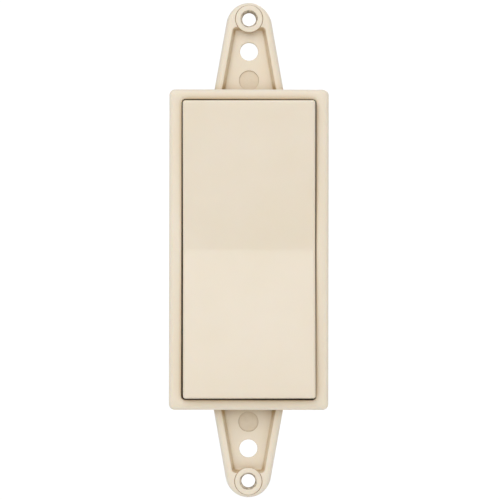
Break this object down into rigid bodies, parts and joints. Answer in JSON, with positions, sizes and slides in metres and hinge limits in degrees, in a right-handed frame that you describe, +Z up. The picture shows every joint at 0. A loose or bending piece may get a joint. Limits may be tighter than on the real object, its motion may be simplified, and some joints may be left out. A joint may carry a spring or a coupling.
{
  "type": "rocker wall switch",
  "caption": "Momentary centre-return rocker wall switch in an ivory decorator frame with a mounting ear at each end and a dark contact body behind.",
  "frame": {"origin": "midpoint between the two box screw holes, on the plane of the ears' back faces", "axes": "+Z up along the switch, +Y into the wall box, so the rocker faces -Y, and +X to the right as seen from the front"},
  "size_m": [0.0334, 0.0371, 0.1038],
  "materials": {
    "ivory_moulding": "satin moulded ivory thermoplastic",
    "ivory_rocker": "semi-gloss moulded ivory thermoplastic",
    "ground_steel": "ground steel",
    "black_moulding": "matt black glass-filled plastic",
    "zinc_plate": "bright zinc-plated steel",
    "natural_nylon": "natural nylon",
    "bridge_bronze": "rolled phosphor bronze",
    "contact_silver": "silver alloy contact",
    "spring_steel": "hard-drawn spring steel",
    "terminal_brass": "stamped brass"
  },
  "bodies": {
    "root": {"mounting_frame": "ivory_moulding", "pivot_pin": "ground_steel", "mechanism_cover": "black_moulding", "switch_body": "black_moulding", "body_screws": "zinc_plate", "common_terminal": "terminal_brass", "upper_terminal": "terminal_brass", "lower_terminal": "terminal_brass", "common_fixed_contacts": "contact_silver", "upper_fixed_contact": "contact_silver", "lower_fixed_contact": "contact_silver", "terminal_screws": "zinc_plate", "clamp_plates": "zinc_plate", "terminal_nuts": "zinc_plate", "upper_return_spring": "spring_steel", "lower_return_spring": "spring_steel"},
    "rocker_body": {"rocker": "ivory_rocker"},
    "upper_plunger_body": {"upper_plunger": "natural_nylon", "upper_contact_bridge": "bridge_bronze", "upper_moving_contacts": "contact_silver", "upper_bridge_retainer": "spring_steel"},
    "lower_plunger_body": {"lower_plunger": "natural_nylon", "lower_contact_bridge": "bridge_bronze", "lower_moving_contacts": "contact_silver", "lower_bridge_retainer": "spring_steel"}
  },
  "joints": [
    {"name": "rocker_tilt", "type": "hinge", "parent": "root", "child": "rocker_body", "pos_m": [0, -0.0048, 0], "axis": [-1, 0, 0], "range_deg": [-3.6, 3.6], "stiffness_Nm_per_rad": 1.2},
    {"name": "upper_plunger_slide", "type": "slide", "parent": "root", "child": "upper_plunger_body", "axis": [0, 1, 0], "range_m": [-0.00101, 0.00101], "deforming": ["upper_return_spring"]},
    {"name": "lower_plunger_slide", "type": "slide", "parent": "root", "child": "lower_plunger_body", "axis": [0, 1, 0], "range_m": [-0.00101, 0.00101], "deforming": ["lower_return_spring"]}
  ],
  "couplings": [
    {"joint": "upper_plunger_slide", "follows": "rocker_tilt", "m_per_rad": 0.016},
    {"joint": "lower_plunger_slide", "follows": "rocker_tilt", "m_per_rad": -0.016}
  ]
}
